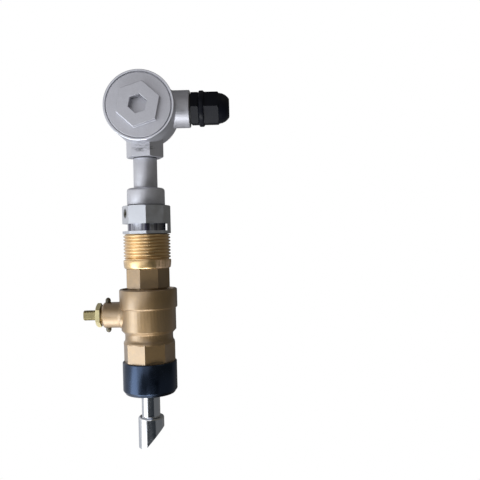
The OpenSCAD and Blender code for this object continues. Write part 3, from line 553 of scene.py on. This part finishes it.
def new_piece(name, bm, finish):
    """Turns a bmesh in millimetres into a piece with smooth faces and crisp edges."""
    bmesh.ops.scale(bm, vec=(MM, MM, MM), verts=bm.verts)
    bmesh.ops.recalc_face_normals(bm, faces=bm.faces)
    mesh = bpy.data.meshes.new(name)
    bm.to_mesh(mesh)
    bm.free()
    mesh.shade_smooth()
    mesh.set_sharp_from_angle(angle=math.radians(CRISP))
    mesh.materials.append(finish)
    piece = bpy.data.objects.new(name, mesh)
    bpy.context.scene.collection.objects.link(piece)
    return piece


def add_revolved(bm, outline, columns, shape=None):
    """Revolves an open outline of (radius, height) points. shape(radius, height, angle) may change
    a radius."""
    rings = []
    for r, h in outline:
        ring = []
        for i in range(columns):
            angle = 2 * math.pi * i / columns
            radius = shape(r, h, angle) if shape else r
            ring.append(bm.verts.new((radius * math.cos(angle), radius * math.sin(angle), h)))
        rings.append(ring)
    for lower, upper in zip(rings, rings[1:]):
        for i in range(columns):
            j = (i + 1) % columns
            bm.faces.new((lower[i], lower[j], upper[j], upper[i]))


# One pitch of a rounded thread: height along the pitch, and the share of the depth that is cut away
THREAD_SECTION = (
    (0.0, 1.0), (0.05, 1.0), (0.1, 0.93), (0.27, 0.09), (0.33, 0.01), (0.4, 0.0), (0.6, 0.0),
    (0.67, 0.01), (0.73, 0.09), (0.9, 0.93), (0.95, 1.0),
)


def add_thread(bm, low, high, crest_r, depth, pitch, columns, lead, shape=None):
    """Adds the skin of a right-handed thread between two levels, with a chamfer as long as lead at
    each end."""
    turns = math.ceil((high - low) / pitch) + 1
    rows = [
        ((turn - 1 + phase) * pitch, cut) for turn in range(turns) for phase, cut in THREAD_SECTION]
    rows.append(((turns - 1) * pitch, 1.0))
    grid = []
    for i in range(columns):
        angle = 2 * math.pi * i / columns
        column = []
        for rise, cut in rows:
            h = min(max(low + rise + pitch * i / columns, low), high)
            full = min((h - low) / lead, (high - h) / lead, 1.0)
            r = min(crest_r - depth * cut, crest_r - depth * (1.0 - full))
            r = shape(r, h, angle) if shape else r
            column.append(bm.verts.new((r * math.cos(angle), r * math.sin(angle), h)))
        grid.append(column)
    last = len(rows) - 1
    for i in range(columns):
        here, there = grid[i], grid[(i + 1) % columns]
        # The last column meets the first one a whole pitch higher
        shift = len(THREAD_SECTION) if i == columns - 1 else 0
        for k in range(last):
            if k + 1 + shift <= last:
                bm.faces.new((here[k], there[k + shift], there[k + 1 + shift], here[k + 1]))


def close_up(bm):
    """Joins skins that meet, and drops what has no area."""
    bmesh.ops.remove_doubles(bm, verts=bm.verts, dist=DRAWN_GAP)
    bmesh.ops.dissolve_degenerate(bm, edges=bm.edges, dist=DRAWN_GAP)


def round_edges(node, width_mm):
    """Rounds the edges of a solid by modifiers, so that they catch the light."""
    weld = node.modifiers.new("weld", "WELD")
    weld.merge_threshold = SOLID_GAP * MM
    merge = node.modifiers.new("flat faces", "DECIMATE")
    merge.decimate_type = "DISSOLVE"
    merge.angle_limit = math.radians(FLAT)
    bevel = node.modifiers.new("edges", "BEVEL")
    bevel.width = width_mm * MM
    bevel.segments = 2
    bevel.limit_method = "ANGLE"
    bevel.angle_limit = math.radians(CORNER)
    bevel.harden_normals = True
    bevel.use_clamp_overlap = True


# Which edge each solid has, and which finish where it isn't the record's
EDGES = {
    "cast": ("terminal_box", "box_cover", "packing_nut", "neck_sleeve"),
    "forged": ("valve_body", "valve_end"),
    "turned": ("weld_base", "probe_holder", "spindle_gland_nut", "stop_pins", "grub_screw"),
    "moulded": ("gland_body", "gland_nut", "terminal_block"),
}
OWN_FINISH = {"terminal_box": "scuffed_aluminium", "spindle_gland_nut": "light_brass"}


class FLOW_OT_solids(bpy.types.Operator):
    """Gives each solid its finish and rounds its edges"""

    bl_idname = "flow.solids"
    bl_label = "Finish the solids"

    def execute(self, context):
        finishes = make_finishes()
        slots = {entry["node"]: entry["material_slot"] for entry in frame["record"]["subparts"]}
        for name, node in frame["nodes"].items():
            node.data.materials.clear()
            node.data.materials.append(finishes[OWN_FINISH.get(name, slots[name])])
        for kind, names in EDGES.items():
            for name in names:
                round_edges(frame["nodes"][name], getattr(settings("edges"), kind))
        return {"FINISHED"}


# The nipple's collar bulges like a barrel: how far in from its radius and up from its foot its side
# runs, and how far in from its radius and down from its top its upper edge runs, in millimetres
COLLAR_SIDE = ((1.7, 0.0), (1.0, 0.4), (0.55, 1.2), (0.32, 2.4), (0.12, 4.2), (0.0, 6.2))
COLLAR_EDGE = ((0.0, 0.7), (0.2, 0.2), (0.7, 0.0))
NIPPLE_COLUMNS = 144


class FLOW_OT_nipple(bpy.types.Operator):
    """Turned brass nipple with its coarse thread and collar"""

    bl_idname = "flow.nipple"
    bl_label = "Threaded nipple"

    def execute(self, context):
        s = settings("nipple")
        foot = low_corner("threaded_nipple").z
        top = high_corner("threaded_nipple").z
        collar_foot = high_corner("valve_end").z
        collar_top = collar_foot + s.collar_h
        collar_r = high_corner("threaded_nipple").x
        pipe_r = s.pipe_d / 2
        bore_r = s.bore_d / 2
        socket_r = s.socket_d / 2
        thread_r = s.thread_d / 2
        root_r = thread_r - s.depth
        # Groove between collar and thread, as long as the thread's chamfers. Chamfers of the pipe
        # thread's end, of the top outside and of the socket's mouth. Gap under the holder's spigot
        groove, end, rim, mouth_w, mouth_h, gap = 0.9, 1.0, 0.4, 0.6, 0.5, 0.5
        thread_foot = collar_top + groove
        thread_top = top - rim
        socket_foot = low_corner("probe_holder").z - gap
        bm = bmesh.new()
        add_thread(bm, thread_foot, thread_top, thread_r, s.depth, s.pitch, NIPPLE_COLUMNS, groove)
        add_revolved(bm, [
            (root_r, thread_top), (socket_r + mouth_w, top), (socket_r, top - mouth_h),
            (socket_r, socket_foot), (bore_r, socket_foot), (bore_r, foot),
            (pipe_r - end, foot), (pipe_r, foot + end), (pipe_r, collar_foot),
            *((collar_r - inset, collar_foot + rise) for inset, rise in COLLAR_SIDE),
            *((collar_r - inset, collar_top - drop) for inset, drop in COLLAR_EDGE),
            (root_r, collar_top), (root_r, thread_foot)], NIPPLE_COLUMNS)
        close_up(bm)
        nipple = new_piece("nipple_with_thread", bm, bpy.data.materials["turned brass"])
        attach(nipple, "valve")
        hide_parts("threaded_nipple")
        return {"FINISHED"}


SPINDLE_COLUMNS = 96


class FLOW_OT_spindle(bpy.types.Operator):
    """Valve spindle with the threaded stud that takes the lever"""

    bl_idname = "flow.spindle"
    bl_label = "Valve spindle"

    def execute(self, context):
        s = settings("spindle")
        axis_z = (low_corner("ball").z + high_corner("ball").z) / 2
        tip = -low_corner("spindle").x
        tang_foot = -high_corner("spindle").x
        # Gap between the ball and the collar, taper from the shaft to the stud, chamfer of the
        # thread, and the step over which a section changes from flat-sided to round or back
        gap, taper, chamfer, step = 1.0, 1.2, 0.6, 0.01
        collar_in = high_corner("ball").x + gap
        collar_out = collar_in + s.collar_w
        collar_r = high_corner("spindle").y
        shaft_r = s.shaft_d / 2
        stud_r = s.stud_d / 2
        root_r = stud_r - s.depth
        stud_foot = -low_corner("spindle_gland_nut").x + s.shaft_out

        def shaped(radius, height, angle):
            """Cuts the two flats of the tang and, a quarter turn on, those of the stud."""
            if collar_in < height < stud_foot:
                return radius
            width = s.tang_w if height <= collar_in else s.flats
            side = abs(math.cos(angle)) if height <= collar_in else abs(math.sin(angle))
            return min(radius, width / 2 / side) if side > 1e-6 else radius

        bm = bmesh.new()
        add_revolved(bm, [
            (0.0, tang_foot), (collar_r, tang_foot), (collar_r, collar_in),
            (collar_r, collar_in + step), (collar_r, collar_out), (shaft_r, collar_out),
            (shaft_r, stud_foot - taper), (stud_r, stud_foot - step), (root_r, stud_foot)],
            SPINDLE_COLUMNS, shaped)
        add_thread(bm, stud_foot, tip, stud_r, s.depth, s.pitch, SPINDLE_COLUMNS, chamfer, shaped)
        add_revolved(bm, [(root_r, tip), (0.0, tip)], SPINDLE_COLUMNS, shaped)
        close_up(bm)
        turn = Matrix.Translation((0, 0, axis_z)) @ Matrix.Rotation(math.radians(-90), 4, "Y")
        bmesh.ops.transform(bm, matrix=turn, verts=bm.verts)
        spindle = new_piece("spindle_with_stud", bm, bpy.data.materials["dull machined brass"])
        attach(spindle, "valve_spindle")
        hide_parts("spindle")
        return {"FINISHED"}


# Stage

# Soft lamps: the setting with their power, azimuth and elevation in degrees, distance and size in
# metres, and linear colour. Azimuths run from the camera's side towards +X, here and below
LAMPS = (
    ("window", "window_power", (-62, -38), 0.55, (0.3, 0.7), (0.86, 0.93, 1.0)),
    ("side lamp", "side_power", (-37, -6), 0.6, (0.2, 0.3), (0.86, 0.93, 1.0)),
    ("low lamp", "low_power", (-2, -58), 0.57, (0.2, 0.2), (0.95, 0.97, 1.0)),
    ("under lamp", "under_power", (-80, -72), 0.55, (0.4, 0.4), (1.0, 0.96, 0.9)),
    ("fill", "fill_power", (70, 55), 0.9, (0.4, 0.4), (1.0, 0.94, 0.86)),
)

# Grey screens that metal reflects: azimuths and elevations in degrees, distance in metres, and
# linear brightness
SCREENS = (
    ("dark card below in front", (-32, 45), (-62, -17), 0.5, (0.025, 0.03, 0.036)),
    ("grey card below at the right", (45, 120), (-62, -22), 0.5, (0.15, 0.155, 0.16)),
    ("pale screen at the left", (-145, -104), (-48, -2), 1.3, (0.62, 0.64, 0.68)),
    ("dark card below at the right", (10, 165), (-84, -48), 0.6, (0.05, 0.045, 0.04)),
    ("dark screen at the right", (-3, 110), (-48, -2), 1.3, (0.08, 0.08, 0.07)),
    ("grey screen at the far right", (110, 150), (-48, -2), 1.3, (0.18, 0.18, 0.18)),
    ("dim screen at the right", (8, 150), (-2, 45), 1.3, (0.13, 0.125, 0.11)),
    ("pale screen in front", (-30, 8), (-2, 45), 1.3, (0.85, 0.85, 0.88)),
    ("dim screen above", (-30, 150), (45, 90), 1.3, (0.12, 0.12, 0.12)),
    ("grey screen above", (-165, -30), (25, 90), 1.3, (0.32, 0.32, 0.33)),
    ("dark screen at the back", (150, 195), (-48, 90), 1.3, (0.10, 0.10, 0.10)),
    ("grey screen at the back", (-165, -145), (-48, 25), 1.3, (0.45, 0.46, 0.50)),
)
SCREEN_STEPS = 16

# Linear colour of the even light all round, and the share of it that the white floor gives back
ROOM_LIGHT = (0.96, 0.98, 1.0, 1.0)
FLOOR_SHARE = 0.85


def direction(azimuth, elevation):
    """The way out from the object at an azimuth and an elevation in degrees."""
    side, up = math.radians(azimuth), math.radians(elevation)
    return Vector((math.cos(up) * math.sin(side), -math.cos(up) * math.cos(side), math.sin(up)))


def add_lamp(name, power, angles, distance, size, colour, middle):
    """A lamp that shines on the middle of the object."""
    ray = direction(*angles)
    lamp = bpy.data.lights.new(name, "AREA")
    lamp.shape = "RECTANGLE"
    lamp.size, lamp.size_y = size
    lamp.energy = power
    lamp.color = colour
    thing = bpy.data.objects.new(name, lamp)
    thing.location = Vector(middle) + distance * ray
    thing.rotation_euler = ray.to_track_quat("Z", "Y").to_euler()
    bpy.context.scene.collection.objects.link(thing)
    thing.visible_camera = False


def add_screen(name, azimuths, elevations, distance, brightness, middle):
    """A grey screen, curved round the object, that only reflections see."""
    points = []
    for row in range(SCREEN_STEPS + 1):
        elevation = elevations[0] + (elevations[1] - elevations[0]) * row / SCREEN_STEPS
        for column in range(SCREEN_STEPS + 1):
            azimuth = azimuths[0] + (azimuths[1] - azimuths[0]) * column / SCREEN_STEPS
            points.append(Vector(middle) + distance * direction(azimuth, elevation))
    faces = []
    for row in range(SCREEN_STEPS):
        for column in range(SCREEN_STEPS):
            first = row * (SCREEN_STEPS + 1) + column
            faces.append((first, first + 1, first + SCREEN_STEPS + 2, first + SCREEN_STEPS + 1))
    mesh = bpy.data.meshes.new(name)
    mesh.from_pydata(points, [], faces)
    material = bpy.data.materials.new(name)
    material.use_nodes = True
    tree = material.node_tree
    tree.nodes.clear()
    glow = add_node(tree, "ShaderNodeEmission", {"Color": (*brightness, 1.0), "Strength": 1.0})
    add_node(tree, "ShaderNodeOutputMaterial", {"Surface": glow.outputs["Emission"]})
    mesh.materials.append(material)
    screen = bpy.data.objects.new(name, mesh)
    bpy.context.scene.collection.objects.link(screen)
    screen.visible_camera = False
    screen.visible_diffuse = False
    screen.visible_shadow = False


def white_board(daylight):
    """Matt white board, which stays white to the eye and keeps the shadow of what is over it."""
    material = plain_finish(
        "matt white board", "F2F2F2", roughness=0.7, grain_mm=2.0, depth=0.05, spread=0.01)
    tree = material.node_tree
    path = add_node(tree, "ShaderNodeLightPath")
    seen = add_node(tree, "ShaderNodeMath", {
        0: path.outputs["Is Camera Ray"], 1: path.outputs["Is Glossy Ray"]}, operation="MAXIMUM")
    glow = add_node(tree, "ShaderNodeMath", {
        0: seen.outputs["Value"], 1: 1.0 - FLOOR_SHARE * daylight}, operation="MULTIPLY")
    shader = tree.nodes["Principled BSDF"]
    shader.inputs["Emission Color"].default_value = (1.0, 1.0, 1.0, 1.0)
    tree.links.new(glow.outputs["Value"], shader.inputs["Emission Strength"])
    return material


def white_room(daylight):
    """A world that is white to the eye and in reflections, and lights the object only weakly."""
    world = bpy.data.worlds.new("white room")
    world.use_nodes = True
    tree = world.node_tree
    tree.nodes.clear()
    path = add_node(tree, "ShaderNodeLightPath")
    seen = add_node(tree, "ShaderNodeMath", {
        0: path.outputs["Is Camera Ray"], 1: path.outputs["Is Glossy Ray"]}, operation="MAXIMUM")
    seen = add_node(tree, "ShaderNodeMath", {
        0: seen.outputs["Value"], 1: path.outputs["Is Transmission Ray"]}, operation="MAXIMUM")
    white = add_node(tree, "ShaderNodeBackground", {"Color": (1.0, 1.0, 1.0, 1.0), "Strength": 1.0})
    even = add_node(tree, "ShaderNodeBackground", {"Color": ROOM_LIGHT, "Strength": daylight})
    mixed = add_node(tree, "ShaderNodeMixShader", {
        0: seen.outputs["Value"], 1: even.outputs["Background"], 2: white.outputs["Background"]})
    add_node(tree, "ShaderNodeOutputWorld", {"Surface": mixed.outputs["Shader"]})
    return world


class FLOW_OT_stage(bpy.types.Operator):
    """Floor, white surroundings, lamps and the camera"""

    bl_idname = "flow.stage"
    bl_label = "Stage"

    def execute(self, context):
        s = settings("stage")
        scene = context.scene
        scene.world = white_room(s.daylight)

        bm = bmesh.new()
        bmesh.ops.create_circle(bm, cap_ends=True, segments=96, radius=s.floor_radius / MM)
        floor = new_piece("pale_floor", bm, white_board(s.daylight))
        floor.location.z = CAD_BOX[0][2] - s.floor_drop

        middle = (0.0, 0.0, (CAD_BOX[0][2] + CAD_BOX[1][2]) / 2)
        for screen in SCREENS:
            add_screen(*screen, middle)
        for name, power, angles, distance, size, colour in LAMPS:
            add_lamp(name, getattr(s, power), angles, distance, size, colour, middle)

        camera = bpy.data.cameras.new("camera")
        camera.lens = s.lens
        camera.sensor_width = 36.0
        thing = bpy.data.objects.new("camera", camera)
        scene.collection.objects.link(thing)
        # Looks level along +Y, rolled round its own axis
        c, r = math.cos(s.camera_roll), math.sin(s.camera_roll)
        turn = Matrix(((c, r, 0.0), (0.0, 0.0, -1.0), (-r, c, 0.0)))
        thing.matrix_world = Matrix.Translation(s.camera_place) @ turn.to_4x4()
        scene.camera = thing
        scene.view_settings.view_transform = "Standard"
        return {"FINISHED"}


STEPS = ("solids", "nipple", "spindle", "stage")


class FLOW_PT_panel(bpy.types.Panel):
    """Lists the pieces in the order in which they are made"""

    bl_idname = "FLOW_PT_panel"
    bl_label = "Flow sensor"
    bl_space_type = "VIEW_3D"
    bl_region_type = "UI"
    bl_category = "Flow sensor"

    def draw(self, context):
        for step in STEPS:
            self.layout.operator("flow." + step)
        for group, kind in GROUPS.items():
            box = self.layout.box()
            box.label(text=group.capitalize())
            for name in kind.__annotations__:
                box.prop(settings(group), name)


CLASSES = (
    *GROUPS.values(), FLOW_OT_solids, FLOW_OT_nipple, FLOW_OT_spindle, FLOW_OT_stage, FLOW_PT_panel,
)


def register():
    for cls in CLASSES:
        bpy.utils.register_class(cls)
    for group, kind in GROUPS.items():
        setattr(bpy.types.Scene, "flow_" + group, PointerProperty(type=kind))


def unregister():
    for group in GROUPS:
        delattr(bpy.types.Scene, "flow_" + group)
    for cls in reversed(CLASSES):
        bpy.utils.unregister_class(cls)


def main():
    register()
    for step in STEPS:
        getattr(bpy.ops.flow, step)()


if __name__ == "__main__":
    main()
